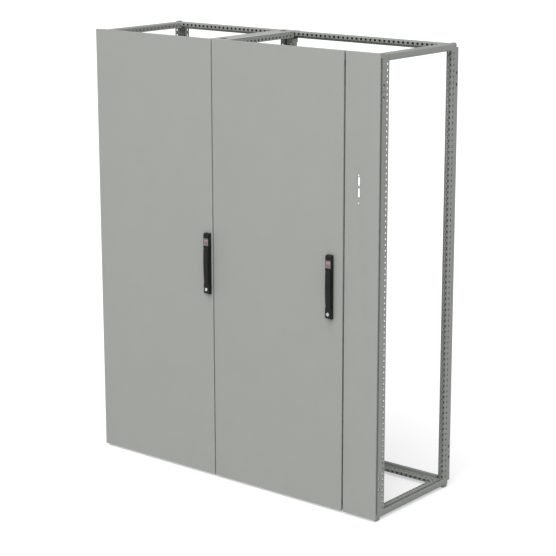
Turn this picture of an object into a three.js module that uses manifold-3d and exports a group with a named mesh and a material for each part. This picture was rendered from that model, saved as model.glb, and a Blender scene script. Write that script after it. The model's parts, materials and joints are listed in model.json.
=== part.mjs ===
// Free-standing switchboard cabinet: an open profile frame with two hinged doors and a fixed flange panel.
// Millimetres, +Z up. X runs across the width.
// Y runs from the doors' front face (0) to the rear of the frame.
import * as THREE from "three";
import { mergeVertices } from "three/addons/utils/BufferGeometryUtils.js";
import Module from "manifold-3d";

const wasm = await Module();
wasm.setup();

// ---- Driving dimensions -------------------------------------------------------------------------------
const WIDTH = 1600;
const HEIGHT = 2000; // floor to the top edge of the doors
const CLEAR = 0.3; // gap between pieces that touch

const FRAME_WIDTH = 1590;
const POST_FRONT = 24; // from the doors' front face to the front of the posts
const POST_REAR = 576;
const RAIL_FRONT = 16; // the rails and corner blocks stand forward of the front posts
const RAIL_REAR = 561; // and stop short of the rear posts' outer flange
const FRAME_BOTTOM = 14;
const FRAME_TOP = 1993;
const WALL = 2; // thickness of the profile sheet
const POST_SIZE = 48; // outer size of a corner post and width of a rail
const POST_ARM = 22; // thickness of each arm of the corner post's angle section
const RAIL_HEIGHT = 31;
const RAIL_LEDGE = 17; // height of the rail's perforated ledge
const RAIL_LIP = 16; // width of the rail's tall outer lip
// A side rail's heights, and how far in its groove reaches.
const SIDE_SECTION = { lip: 28, groove: 14, ledge: 26, ledgeFrom: 20 };
const CORNER_HEIGHT = 17; // height of the welded block at each end of a corner post
const FOOT = { width: 17, depth: 26, inset: 2 };
const CAP_HEIGHT = 4; // how far a corner cap stands above the frame
const THREAD = { radius: 3.5, inset: 11 }; // the bore for a levelling foot and a lifting eye

const DIVIDER_X = -101.5; // middle of the gap between the two doors
const MIDDLE_POST_FRONT = 72;
const MIDDLE_POST_REAR = 60;
const CROSS_RAIL_WIDTH = 98;
const CROSS_RAIL_HEIGHT = 27;
const PANEL_DIVIDER = { x: 622.5, width: 51, depth: 40 };

const DOOR_GAP = 5; // between the two doors
const PANEL_GAP = 8; // between the right door and the flange panel
const DOOR_BOTTOM = 11;
const SKIN = 2;
const DOOR_FOLD = 12; // depth of the door's folded edge
const SEAL = { width: 10, hingeOffset: 23, offset: 5, back: 11 };
const STIFFENER = { width: 20, back: 14.3, wall: 1.5, hingeOffset: 40, endOffset: 45 };

const HINGE_HEIGHTS = [180, 1005, 1830];
const PIN = { inset: 7, depth: 6.5, radius: 2.5, length: 46 };
const EYE_RADIUS = 4.2;
const BRACKET_HEIGHT = 70;
const ARM_HEIGHT = 24;
const NOTCH_HEIGHT = 30;

const HANDLE_HEIGHT = 278;
const HANDLE_WIDTH = 31;
const HANDLE_PROUD = 25; // the lever's middle, which stands out furthest
const HANDLE_BLOCK = { proud: 20, slope: 9, edge: 12 }; // the fixed blocks at the handle's two ends
const HANDLE_Z = 1001;
const HANDLE_BED = 9.3; // how far the base stands out behind the lever
const LEVER = { width: 26, radius: 6.5, pivot: 72, bottom: -88.5, pivotDepth: 16.1, endDepth: 21 };
const LOCK_BLOCK_TOP = -89;
const TOP_BLOCK_BOTTOM = 80;
const CYLINDER = { radius: 7.1, z: -117, front: 21.5, back: 8 };
const LABEL = { width: 27, height: 34, z: 99, thickness: 1.2 };
const SPINDLE = { radius: 10, z: 40 };
const CASE = { height: 130, back: 21, left: -15, right: 6.5 };
const ROD = { width: 10, left: -12, front: 15, back: 20, travel: 18, endInset: 45 };

const CUTOUT = { x: 697, z: 1445, slotWidth: 12.5, slotHeight: 36, slotPitch: 47.6, holeRadius: 3.5 };
const CUTOUT_HOLES = [49.5, -68];

// ---- Materials ----------------------------------------------------------------------------------------
function paint(color, roughness, metalness) {
  return new THREE.MeshStandardMaterial({ color, roughness, metalness });
}

const doorPaint = () => paint(0xa6a9a4, 0.5, 0);
const framePaint = () => paint(0x9a9d98, 0.5, 0);
const zinc = () => paint(0xb4b6b6, 0.4, 0.8);
const blackPlastic = () => paint(0x2a2a2a, 0.55, 0);
const rubber = () => paint(0x1c1c1c, 0.9, 0);
const chrome = () => paint(0xd8d8d8, 0.2, 1);
const labelGrey = () => paint(0x8a8a8a, 0.6, 0);

// ---- Solids -------------------------------------------------------------------------------------------
// A closed three.js geometry as a manifold solid, for cutting and joining.
function solid(geometry) {
  const bare = geometry.index ? geometry.toNonIndexed() : geometry.clone();
  for (const name of Object.keys(bare.attributes)) {
    if (name !== "position") bare.deleteAttribute(name);
  }
  const merged = mergeVertices(bare, 1e-4);
  return new wasm.Manifold(
    new wasm.Mesh({
      numProp: 3,
      vertProperties: new Float32Array(merged.attributes.position.array),
      triVerts: new Uint32Array(merged.index.array),
    }),
  );
}

function geometryOf(manifold) {
  const mesh = manifold.getMesh();
  const geometry = new THREE.BufferGeometry();
  geometry.setAttribute("position", new THREE.BufferAttribute(new Float32Array(mesh.vertProperties), 3));
  geometry.setIndex(new THREE.BufferAttribute(new Uint32Array(mesh.triVerts), 1));
  geometry.computeVertexNormals();
  return geometry;
}

// A box between two corners, as a manifold solid.
function block(low, high) {
  const size = high.map((value, i) => value - low[i]);
  const geometry = new THREE.BoxGeometry(...size);
  geometry.translate(...low.map((value, i) => value + size[i] / 2));
  return solid(geometry);
}

// A cylinder about a line along Y or Z, as a manifold solid.
function rod(axis, radius, centre, from, to, segments = 24) {
  const geometry = new THREE.CylinderGeometry(radius, radius, to - from, segments);
  if (axis === "z") geometry.rotateX(Math.PI / 2);
  const middle = (from + to) / 2;
  if (axis === "z") geometry.translate(centre[0], centre[1], middle);
  else geometry.translate(centre[0], middle, centre[1]);
  return solid(geometry);
}

const join = (...pieces) => pieces.reduce((a, b) => a.add(b));

function outline(points) {
  return new THREE.Shape(points.map(([x, y]) => new THREE.Vector2(x, y)));
}

// A hollow rectangular or L-shaped section, open at both ends, drawn in its own XY plane.
function tubeSection(outer, inner) {
  const shape = outline(outer);
  shape.holes.push(outline(inner));
  return shape;
}

// An L section: a tall arm of width lip along its left side, and a ledge of height ledge along its foot.
function angleSection(width, height, lip, ledge, wall) {
  const at = (t) => [
    [t, t],
    [width - t, t],
    [width - t, ledge - t],
    [lip - t, ledge - t],
    [lip - t, height - t],
    [t, height - t],
  ];
  return tubeSection(at(0), at(wall));
}

function boxSection(width, height, wall) {
  const at = (t) => [
    [t, t],
    [width - t, t],
    [width - t, height - t],
    [t, height - t],
  ];
  return tubeSection(at(0), at(wall));
}

const extrude = (shape, length) => new THREE.ExtrudeGeometry(shape, { depth: length, bevelEnabled: false });

// Mirroring turns a geometry inside out, so its triangles are turned back.
function mirrored(geometry, x, y, z) {
  const copy = geometry.clone();
  copy.scale(x, y, z);
  if (x * y * z < 0) {
    const position = copy.attributes.position;
    for (let i = 0; i < position.count; i += 3) {
      const second = new THREE.Vector3().fromBufferAttribute(position, i + 1);
      const third = new THREE.Vector3().fromBufferAttribute(position, i + 2);
      position.setXYZ(i + 1, third.x, third.y, third.z);
      position.setXYZ(i + 2, second.x, second.y, second.z);
    }
  }
  return copy;
}

// ---- Scene --------------------------------------------------------------------------------------------
const cabinet = new THREE.Group();
cabinet.position.y = -(POST_REAR - HANDLE_PROUD) / 2;

function piece(name, shape, material) {
  const geometry = shape.isBufferGeometry ? shape : geometryOf(shape);
  const mesh = new THREE.Mesh(geometry, material);
  mesh.name = name;
  cabinet.add(mesh);
  return mesh;
}

// ---- Frame --------------------------------------------------------------------------------------------
const SIDE_X = FRAME_WIDTH / 2;
const POST_INNER_X = SIDE_X - POST_SIZE;
const FRONT_POSTS_TO = POST_FRONT + POST_SIZE;
const REAR_POSTS_FROM = POST_REAR - POST_SIZE;

const sorted = (a, b) => (a < b ? [a, b] : [b, a]);

// One corner: an angle-section post with a block welded to each end, a cap on top and a foot below.
// sx and sy say which corner it is.
function corner(place, sx, sy) {
  const bottom = FRAME_BOTTOM + CORNER_HEIGHT;
  const top = FRAME_TOP - CORNER_HEIGHT;
  const section = angleSection(POST_SIZE, POST_SIZE, POST_ARM, POST_ARM, WALL);
  const post = mirrored(extrude(section, top - bottom + 2), -sx, -sy, 1);
  post.translate(sx * SIDE_X, sy > 0 ? POST_REAR : POST_FRONT, bottom - 1);

  const blockX = sorted(sx * SIDE_X, sx * POST_INNER_X);
  const outerY = sy > 0 ? RAIL_REAR : RAIL_FRONT;
  const blockY = sorted(outerY, sy > 0 ? REAR_POSTS_FROM : FRONT_POSTS_TO);
  const endBlock = (low, high) => block([blockX[0], blockY[0], low], [blockX[1], blockY[1], high]);

  const footX = sorted(sx * (SIDE_X - FOOT.inset), sx * (SIDE_X - FOOT.inset - FOOT.width));
  const footOuter = outerY - sy * FOOT.inset;
  const footY = sorted(footOuter, footOuter - sy * FOOT.depth);
  const footBlock = (low, high) => block([footX[0], footY[0], low], [footX[1], footY[1], high]);

  const cap = footBlock(FRAME_TOP - WALL, FRAME_TOP + CAP_HEIGHT);
  const ends = [endBlock(FRAME_BOTTOM, bottom), endBlock(top, FRAME_TOP)];
  const boreCentre = [sx * (SIDE_X - THREAD.inset), (footY[0] + footY[1]) / 2];
  const bore = rod("z", THREAD.radius, boreCentre, 0, HEIGHT);
  piece(`post_${place}`, join(solid(post), ...ends, cap).subtract(bore), framePaint());
  piece(`foot_${place}`, footBlock(0, FRAME_BOTTOM - CLEAR), zinc());
}

corner("front_left", -1, -1);
corner("front_right", 1, -1);
corner("rear_left", -1, 1);
corner("rear_right", 1, 1);

// A side rail's section: a single-sheet lip along the outside, a groove behind it
// and a raised ledge inside.
function sideSection() {
  const { lip, groove, ledge, ledgeFrom } = SIDE_SECTION;
  const outer = [
    [0, 0],
    [POST_SIZE, 0],
    [POST_SIZE, ledge],
    [ledgeFrom, ledge],
    [ledgeFrom, groove],
    [WALL, groove],
    [WALL, lip],
    [0, lip],
  ];
  const inner = [
    [WALL, WALL],
    [POST_SIZE - WALL, WALL],
    [POST_SIZE - WALL, ledge - WALL],
    [ledgeFrom + WALL, ledge - WALL],
    [ledgeFrom + WALL, groove - WALL],
    [WALL, groove - WALL],
  ];
  return tubeSection(outer, inner);
}

const longSection = () => angleSection(POST_SIZE, RAIL_HEIGHT, RAIL_LIP, RAIL_LEDGE, WALL);

// A rail has its lip on the outside of the frame. A top rail is a bottom rail turned upside down.
function rail(name, section, length, level, turn, x, y) {
  const flipped = level === "top";
  const geometry = mirrored(extrude(section, length), 1, flipped ? -1 : 1, 1);
  geometry.rotateX(Math.PI / 2);
  geometry.translate(0, length / 2, flipped ? FRAME_TOP : FRAME_BOTTOM);
  geometry.rotateZ(turn);
  geometry.translate(x, y, 0);
  piece(name, geometry, framePaint());
}

const LONG_RAIL = 2 * (POST_INNER_X - CLEAR);
const SIDE_RAIL = REAR_POSTS_FROM - FRONT_POSTS_TO - 2 * CLEAR;
const SIDE_RAIL_Y = (REAR_POSTS_FROM + FRONT_POSTS_TO) / 2;
for (const level of ["top", "bottom"]) {
  rail(`rail_front_${level}`, longSection(), LONG_RAIL, level, Math.PI / 2, 0, RAIL_FRONT);
  rail(`rail_rear_${level}`, longSection(), LONG_RAIL, level, -Math.PI / 2, 0, RAIL_REAR);
  rail(`rail_left_${level}`, sideSection(), SIDE_RAIL, level, 0, -SIDE_X, SIDE_RAIL_Y);
  rail(`rail_right_${level}`, sideSection(), SIDE_RAIL, level, Math.PI, SIDE_X, SIDE_RAIL_Y);
}

// An upright box tube between the bottom rail and the top rail.
function upright(name, x, width, front, depth) {
  const bottom = FRAME_BOTTOM + RAIL_HEIGHT + CLEAR;
  const top = FRAME_TOP - RAIL_HEIGHT - CLEAR;
  const geometry = extrude(boxSection(width, depth, WALL), top - bottom);
  geometry.translate(x - width / 2, front, bottom);
  piece(name, geometry, framePaint());
}

upright("post_front_middle", DIVIDER_X, MIDDLE_POST_FRONT, POST_FRONT, POST_SIZE);
upright("post_rear_middle", DIVIDER_X, MIDDLE_POST_REAR, RAIL_REAR - POST_SIZE, POST_SIZE);
upright("post_panel_divider", PANEL_DIVIDER.x, PANEL_DIVIDER.width, POST_FRONT, PANEL_DIVIDER.depth);

// A box tube from the front rail to the rear rail, over the middle posts' line.
function crossRail(name, width, height, bottom) {
  const from = RAIL_FRONT + POST_SIZE + CLEAR;
  const to = RAIL_REAR - POST_SIZE - CLEAR;
  const geometry = extrude(boxSection(width, height, WALL), to - from);
  geometry.rotateX(Math.PI / 2);
  geometry.translate(DIVIDER_X - width / 2, to, bottom);
  piece(name, geometry, framePaint());
}

crossRail("rail_middle_top", CROSS_RAIL_WIDTH, CROSS_RAIL_HEIGHT, FRAME_TOP - CROSS_RAIL_HEIGHT);
crossRail("rail_middle_bottom", POST_SIZE, RAIL_LEDGE, FRAME_BOTTOM);

// ---- Doors and panel ----------------------------------------------------------------------------------
// A sheet with its four edges folded back.
function tray(left, right) {
  const outer = block([left, 0, DOOR_BOTTOM], [right, DOOR_FOLD, HEIGHT]);
  const inside = [left + SKIN, SKIN, DOOR_BOTTOM + SKIN];
  return outer.subtract(block(inside, [right - SKIN, DOOR_FOLD + 1, HEIGHT - SKIN]));
}

// A rectangular ring lying in the door, between two Y levels.
function ring(low, high, width, front, back) {
  const outer = block([low[0], front, low[1]], [high[0], back, high[1]]);
  return outer.subtract(
    block([low[0] + width, front - 1, low[1] + width], [high[0] - width, back + 1, high[1] - width]),
  );
}

function seal(left, right) {
  const low = [left + SEAL.hingeOffset, DOOR_BOTTOM + SEAL.offset];
  const high = [right - SEAL.offset, HEIGHT - SEAL.offset];
  return ring(low, high, SEAL.width, SKIN + CLEAR, SEAL.back);
}

// A channel-section ring with its open side against the door sheet.
function stiffener(left, right, latchOffset) {
  const low = [left + STIFFENER.hingeOffset, DOOR_BOTTOM + STIFFENER.endOffset];
  const high = [right - latchOffset, HEIGHT - STIFFENER.endOffset];
  const front = SKIN + CLEAR;
  const groove = ring(
    low.map((value) => value + STIFFENER.wall),
    high.map((value) => value - STIFFENER.wall),
    STIFFENER.width - 2 * STIFFENER.wall,
    front - 1,
    STIFFENER.back - STIFFENER.wall,
  );
  return ring(low, high, STIFFENER.width, front, STIFFENER.back).subtract(groove);
}

// The door half of a hinge: a plate on the sheet with two ears that carry the pin's ends.
function hingeLeaf(x, z) {
  const plate = block(
    [x + 5, SKIN + CLEAR, z - BRACKET_HEIGHT / 2],
    [x + 15, SKIN + CLEAR + 2, z + BRACKET_HEIGHT / 2],
  );
  const ears = [-1, 1].map((side) => {
    const levels = sorted(side * (ARM_HEIGHT / 2 + CLEAR), (side * PIN.length) / 2);
    return block([x - 4.5, 4, z + levels[0]], [x + 12, PIN.depth + 4.5, z + levels[1]]);
  });
  const bore = rod("z", PIN.radius + CLEAR, [x, PIN.depth], z - PIN.length, z + PIN.length);
  return join(plate, ...ears).subtract(bore);
}

// The frame half of a hinge: a plate on the post and an arm that reaches into the door's fold.
function hingeBracket(x, z) {
  const face = POST_FRONT - CLEAR;
  const plate = block([x - 1, face - 2, z - BRACKET_HEIGHT / 2], [x + 13, face, z + BRACKET_HEIGHT / 2]);
  const arm = block([x + 0.8, PIN.depth, z - ARM_HEIGHT / 2], [x + 6, face - 1, z + ARM_HEIGHT / 2]);
  const eye = rod("z", EYE_RADIUS, [x, PIN.depth], z - ARM_HEIGHT / 2, z + ARM_HEIGHT / 2);
  const bore = rod("z", PIN.radius + CLEAR, [x, PIN.depth], z - ARM_HEIGHT, z + ARM_HEIGHT);
  return join(plate, arm, eye).subtract(bore);
}

// Carries an outline drawn as (Y, Z) round the handle's middle across the width of the handle.
function acrossHandle(shape, x, width) {
  const options = { depth: width, bevelEnabled: false, curveSegments: 12 };
  const left = x - width / 2;
  const turn = new THREE.Matrix4().set(0, 0, 1, left, 1, 0, 0, 0, 0, 1, 0, HANDLE_Z, 0, 0, 0, 1);
  return solid(new THREE.ExtrudeGeometry(shape, options).applyMatrix4(turn));
}

// The handle's base, drawn as its side outline: top block, bed for the lever and lock block.
function handleBase(x) {
  const half = HANDLE_HEIGHT / 2;
  const { proud, slope, edge } = HANDLE_BLOCK;
  const side = outline([
    [-CLEAR, -half],
    [-CLEAR, half],
    [-edge, half],
    [-proud, half - slope],
    [-proud, TOP_BLOCK_BOTTOM],
    [-HANDLE_BED, TOP_BLOCK_BOTTOM],
    [-HANDLE_BED, LOCK_BLOCK_TOP],
    [-proud, LOCK_BLOCK_TOP],
    [-proud, -half + slope],
    [-edge, -half],
  ]);
  const body = acrossHandle(side, x, HANDLE_WIDTH);
  const lockCentre = [x, HANDLE_Z + CYLINDER.z];
  const bore = rod("y", CYLINDER.radius + CLEAR, lockCentre, -proud - 1, -CYLINDER.back + CLEAR);
  const labelMiddle = HANDLE_Z + LABEL.z;
  const labelHalf = [LABEL.width / 2 + CLEAR, LABEL.height / 2 + CLEAR];
  const labelRecess = block(
    [x - labelHalf[0], -proud - 1, labelMiddle - labelHalf[1]],
    [x + labelHalf[0], -proud + LABEL.thickness + CLEAR, labelMiddle + labelHalf[1]],
  );
  const boss = rod("y", SPINDLE.radius, [x, HANDLE_Z + SPINDLE.z], -1, SKIN);
  return body.subtract(bore).subtract(labelRecess).add(boss);
}

// The lever: bowed from the side with a round top about its pivot, and round-headed from the front.
function lever(x) {
  const { width, radius, pivot, bottom, pivotDepth, endDepth } = LEVER;
  const back = -pivotDepth + radius;
  const side = new THREE.Shape();
  side.moveTo(back, pivot);
  side.absarc(-pivotDepth, pivot, radius, 0, Math.PI, false);
  side.quadraticCurveTo(-HANDLE_PROUD, pivot / 2, -HANDLE_PROUD, 0);
  side.quadraticCurveTo(-HANDLE_PROUD, bottom / 2, -endDepth, bottom + 3);
  side.lineTo(-endDepth + 3, bottom);
  side.lineTo(back, bottom);
  side.closePath();
  const front = new THREE.Shape();
  const head = HANDLE_Z + pivot + radius - width / 2;
  front.moveTo(x - width / 2, HANDLE_Z + bottom - 1);
  front.lineTo(x + width / 2, HANDLE_Z + bottom - 1);
  front.absarc(x, head, width / 2, 0, Math.PI, false);
  front.closePath();
  const options = { depth: 2 * HANDLE_PROUD, bevelEnabled: false, curveSegments: 16 };
  const face = new THREE.ExtrudeGeometry(front, options);
  face.rotateX(Math.PI / 2);
  return acrossHandle(side, x, width).intersect(solid(face));
}

function label(x) {
  const low = HANDLE_Z + LABEL.z - LABEL.height / 2;
  const front = -HANDLE_BLOCK.proud;
  return block(
    [x - LABEL.width / 2, front, low],
    [x + LABEL.width / 2, front + LABEL.thickness, low + LABEL.height],
  );
}

// One door with everything that rides on it, and the frame halves of its hinges.
function door(side, left, right, handleX, latchOffset) {
  const pinX = left + PIN.inset;
  let panel = tray(left, right);
  for (const z of HINGE_HEIGHTS) {
    const low = [left - 1, SKIN, z - NOTCH_HEIGHT / 2];
    panel = panel.subtract(block(low, [left + SKIN + 1, DOOR_FOLD + 1, z + NOTCH_HEIGHT / 2]));
  }
  panel = panel.subtract(rod("y", SPINDLE.radius + 1, [handleX, HANDLE_Z + SPINDLE.z], -1, SKIN + 1));
  piece(`door_${side}_panel`, panel, doorPaint());
  piece(`door_${side}_seal`, seal(left, right), rubber());
  piece(`door_${side}_stiffener`, stiffener(left, right, latchOffset), framePaint());

  piece(`door_${side}_handle_base`, handleBase(handleX), blackPlastic());
  piece(`door_${side}_handle_lever`, lever(handleX), blackPlastic());
  piece(`door_${side}_handle_label`, label(handleX), labelGrey());
  const cylinderPlace = [handleX, HANDLE_Z + CYLINDER.z];
  const cylinder = rod("y", CYLINDER.radius, cylinderPlace, -CYLINDER.front, -CYLINDER.back, 32);
  piece(`door_${side}_lock_cylinder`, cylinder, chrome());

  const lockCase = block(
    [handleX + CASE.left, SKIN + CLEAR, HANDLE_Z - CASE.height / 2],
    [handleX + CASE.right, CASE.back, HANDLE_Z + CASE.height / 2],
  );
  piece(`door_${side}_lock_case`, lockCase, zinc());
  const rodLeft = handleX + ROD.left;
  const nearCase = CASE.height / 2 + ROD.travel + 4;
  const spans = {
    upper: [HANDLE_Z + nearCase, HEIGHT - ROD.endInset],
    lower: [DOOR_BOTTOM + ROD.endInset, HANDLE_Z - nearCase],
  };
  for (const [name, [low, high]] of Object.entries(spans)) {
    const bar = block([rodLeft, ROD.front, low], [rodLeft + ROD.width, ROD.back, high]);
    piece(`door_${side}_rod_${name}`, bar, zinc());
  }

  HINGE_HEIGHTS.forEach((z, i) => {
    const name = `hinge_${side}_${i + 1}`;
    piece(`${name}_leaf`, hingeLeaf(pinX, z), zinc());
    piece(`${name}_bracket`, hingeBracket(pinX, z), zinc());
    const pin = rod("z", PIN.radius, [pinX, PIN.depth], z - PIN.length / 2, z + PIN.length / 2);
    piece(`${name}_pin`, pin, zinc());
  });
}

const LEFT_DOOR = [-WIDTH / 2, DIVIDER_X - DOOR_GAP / 2];
const RIGHT_DOOR = [DIVIDER_X + DOOR_GAP / 2, PANEL_DIVIDER.x - PANEL_GAP / 2];
const LEFT_HANDLE_X = LEFT_DOOR[1] - 23;
const RIGHT_HANDLE_X = RIGHT_DOOR[1] - 62.5;
door("left", ...LEFT_DOOR, LEFT_HANDLE_X, STIFFENER.hingeOffset);
door("right", ...RIGHT_DOOR, RIGHT_HANDLE_X, SEAL.offset + SEAL.width + 5);

// The fixed panel with the slots and holes for a switch operator.
function flangePanel() {
  let panel = tray(PANEL_DIVIDER.x + PANEL_GAP / 2, WIDTH / 2);
  for (const side of [-1, 1]) {
    const z = CUTOUT.z + (side * CUTOUT.slotPitch) / 2;
    const low = [CUTOUT.x - CUTOUT.slotWidth / 2, -1, z - CUTOUT.slotHeight / 2];
    const high = [CUTOUT.x + CUTOUT.slotWidth / 2, SKIN + 1, z + CUTOUT.slotHeight / 2];
    panel = panel.subtract(block(low, high));
  }
  for (const dz of CUTOUT_HOLES) {
    panel = panel.subtract(rod("y", CUTOUT.holeRadius, [CUTOUT.x, CUTOUT.z + dz], -1, SKIN + 1, 16));
  }
  return panel;
}

piece("flange_panel", flangePanel(), doorPaint());

export default cabinet;
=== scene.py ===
"""Looks of a free-standing switchboard cabinet: perforated profile frame, folded doors and lift handles.

Sizes are in millimetres. X runs across the cabinet, Z up, and Y from the doors' front face to the rear.
"""

import json
import math

import bmesh
import bpy
from mathutils import Matrix, Vector


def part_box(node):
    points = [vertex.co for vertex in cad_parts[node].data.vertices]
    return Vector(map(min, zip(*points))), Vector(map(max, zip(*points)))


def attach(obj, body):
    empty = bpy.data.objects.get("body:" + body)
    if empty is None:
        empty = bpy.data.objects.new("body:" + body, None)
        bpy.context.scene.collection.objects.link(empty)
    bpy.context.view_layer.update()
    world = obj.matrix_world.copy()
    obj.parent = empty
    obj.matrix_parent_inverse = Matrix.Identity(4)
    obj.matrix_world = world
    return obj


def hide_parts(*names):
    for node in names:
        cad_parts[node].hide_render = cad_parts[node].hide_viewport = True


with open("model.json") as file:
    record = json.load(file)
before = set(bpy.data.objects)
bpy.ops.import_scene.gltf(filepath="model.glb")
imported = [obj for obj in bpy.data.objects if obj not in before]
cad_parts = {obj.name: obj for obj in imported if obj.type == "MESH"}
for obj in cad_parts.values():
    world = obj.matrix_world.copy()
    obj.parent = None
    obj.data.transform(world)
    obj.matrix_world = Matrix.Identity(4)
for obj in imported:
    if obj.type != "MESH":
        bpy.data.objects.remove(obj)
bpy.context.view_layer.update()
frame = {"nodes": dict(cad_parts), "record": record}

MM = 0.001
DOOR_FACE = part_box("door_left_panel")[0].y  # metres; every Y below is measured from here


def node_box(node):
    """A CAD node's lowest and highest corners, in this script's millimetres."""
    low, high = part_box(node)
    shift = Vector((0, DOOR_FACE, 0))
    return (low - shift) / MM, (high - shift) / MM


# ---- Driving dimensions ----------------------------------------------------------------------------------
POST = 48  # outer size of a corner post, and width of a rail
ARM = 22  # thickness of each arm of the post's section
WALL = 2  # thickness of the profile sheet
BEND = 2.4  # outer radius of a bend in the profiles
PITCH = 25  # the frame's hole grid
# Hole sizes: across the profile, along the profile.
SQUARE = (10, 11.5)
SMALL_SQUARE = (8.5, 8.5)
SLOT = (7, 12.5)
SMALL_OVAL = (5, 9)
RAIL_HEIGHT = 31
LEDGE = 17  # height of a rail's perforated ledge
LIP = 16  # width of a rail's tall outer lip
SIDE_LEDGE = 26  # a side rail's perforated ledge
SIDE_GROOVE = (7, 20)  # the groove's height and how far in it reaches
SIDE_LIP = 28
CORNER_HEIGHT = 17  # height of the block at each end of a corner post
END_GROUP = 150  # from the frame's end to the middle of a post's slot group
GROOVE = {"side": 22, "depth": 30}  # the open groove in the rear middle post's front
# Black blocks that paint the shade seen in the door gap at the divider's two ends.
GAP_SHADE_BLOCK = {"width": 6, "front": 3, "levels": ((40, 62), (1942, 1958))}
SKIN = 2  # thickness of a door's sheet
FOLD = 12  # depth of a door's folded edge
HANDLE_Z = 1001  # middle of both handles
PIN_RADIUS = 2.5
HINGE_LENGTH = 46
ARM_HEIGHT = 24  # height of the hinge bracket's eye
BRACKET_HEIGHT = 70
GROMMET_RADIUS = 14.5  # the opening inside a grommet
CABLE_HOLE_RADIUS = 15
SPINDLE_HEIGHT = 40  # the handle's spindle above the handle's middle
CHANNEL_BACK = 14.3  # depth of the door's stiffening channel
CHANNEL_WIDTH = 20
SEAL_DEPTH = 11
PIN_PLAY = 0.2

# The switch operator's openings in the flange panel; "holes" are heights from the slots' middle.
CUTOUT = {"x": 697, "z": 1445, "size": (12.5, 36), "pitch": 47.6, "radius": 3.5, "holes": (49.5, -68)}

# Handle: how far its parts stand out, and heights from its middle.
HANDLE = {"height": 278, "width": 31, "proud": 25, "block": 20, "bed": 9.3, "top": 80, "bottom": -89}
LEVER = {"width": 26, "radius": 6.5, "pivot": 72, "bottom": -88.5, "depth": 16.1, "end": 21}

# Sections carried round a door's inside: the distance in from the edge, then the depth.
SEAL_BEAD = [(0, 2.3), (10, 2.3), (10, 5.2), (9.2, 8.4), (7.4, 10.4)]
SEAL_BEAD += [(5, SEAL_DEPTH), (2.6, 10.4), (0.8, 8.4), (0, 5.2)]
CHANNEL = [(0, 2.3), (1.5, 2.3), (1.5, 12.8), (18.5, 12.8)]
CHANNEL += [(18.5, 2.3), (CHANNEL_WIDTH, 2.3), (CHANNEL_WIDTH, CHANNEL_BACK), (0, CHANNEL_BACK)]

frame_left = node_box("post_rear_left")[0].x
frame_right = node_box("post_rear_right")[1].x
post_rear = node_box("post_rear_left")[1].y
rail_front = node_box("rail_front_top")[0].y
rail_rear = node_box("rail_rear_top")[1].y
frame_top = node_box("rail_front_top")[1].z
frame_bottom = node_box("rail_front_bottom")[0].z
post_front = node_box("post_front_middle")[0].y


# ---- Mesh building ---------------------------------------------------------------------------------------
def rounded(points, radius, steps=3):
    """A closed outline with each corner turned into a small curve."""
    result = []
    count = len(points)
    for i, corner in enumerate(points):
        corner = Vector(corner)
        before = Vector(points[i - 1]) - corner
        after = Vector(points[(i + 1) % count]) - corner
        reach = min(radius, 0.45 * before.length, 0.45 * after.length)
        start = corner + before.normalized() * reach
        end = corner + after.normalized() * reach
        for k in range(steps + 1):
            t = k / steps
            result.append((1 - t) ** 2 * start + 2 * t * (1 - t) * corner + t * t * end)
    return result


def prism(bm, outline, low, high, place):
    """Adds a closed prism: a 2-D outline carried from low to high. place(a, b, c) gives each point."""
    bottom = [bm.verts.new(place(a, b, low)) for a, b in outline]
    top = [bm.verts.new(place(a, b, high)) for a, b in outline]
    count = len(outline)
    bm.faces.new(bottom)
    bm.faces.new(reversed(top))
    for i in range(count):
        j = (i + 1) % count
        bm.faces.new((bottom[j], bottom[i], top[i], top[j]))
    return bottom + top


def tube(bm, outer, inner, low, high, place):
    """Adds a hollow section with open ends. The two outlines have the same number of points."""
    lines = [(line, c) for c in (low, high) for line in (outer, inner)]
    rings = [[bm.verts.new(place(a, b, c)) for a, b in line] for line, c in lines]
    outer_low, inner_low, outer_high, inner_high = rings
    count = len(outer)
    for i in range(count):
        j = (i + 1) % count
        bm.faces.new((outer_low[i], outer_low[j], outer_high[j], outer_high[i]))
        bm.faces.new((inner_low[j], inner_low[i], inner_high[i], inner_high[j]))
        bm.faces.new((outer_low[j], outer_low[i], inner_low[i], inner_low[j]))
        bm.faces.new((outer_high[i], outer_high[j], inner_high[j], inner_high[i]))


def rectangle(low, high):
    return [(low[0], low[1]), (high[0], low[1]), (high[0], high[1]), (low[0], high[1])]


def circle(centre, radius, count=16, turn=0.0):
    angles = [2 * math.pi * (i + turn) / count for i in range(count)]
    return [(centre[0] + radius * math.cos(t), centre[1] + radius * math.sin(t)) for t in angles]


def oval(centre, width, height, count=6):
    """A slot with round ends, taller than wide or wider than tall."""
    radius = min(width, height) / 2
    dx = width / 2 - radius
    dy = height / 2 - radius
    points = []
    for quarter, (sx, sy) in enumerate(((1, 1), (-1, 1), (-1, -1), (1, -1))):
        for i in range(count // 2 + 1):
            angle = math.pi / 2 * (quarter + i / (count // 2))
            point = (
                centre[0] + sx * dx + radius * math.cos(angle),
                centre[1] + sy * dy + radius * math.sin(angle),
            )
            if not points or math.dist(points[-1], point) > 1e-6:
                points.append(point)
    if math.dist(points[0], points[-1]) < 1e-6:
        points.pop()
    return points


def along_x(a, b, c):
    return Vector((c, a, b))


def along_y(a, b, c):
    return Vector((a, c, b))


def along_z(a, b, c):
    return Vector((a, b, c))


def soften(bm, verts, width, segments=2, angle=50):
    """Rounds the sharp edges among these vertices."""
    bm.normal_update()
    chosen = set(verts)
    edges = [
        e
        for e in bm.edges
        if e.verts[0] in chosen
        and e.verts[1] in chosen
        and len(e.link_faces) == 2
        and e.calc_face_angle(0) > math.radians(angle)
    ]
    bmesh.ops.bevel(bm, geom=edges, offset=width, segments=segments, profile=0.5, affect="EDGES")


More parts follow.
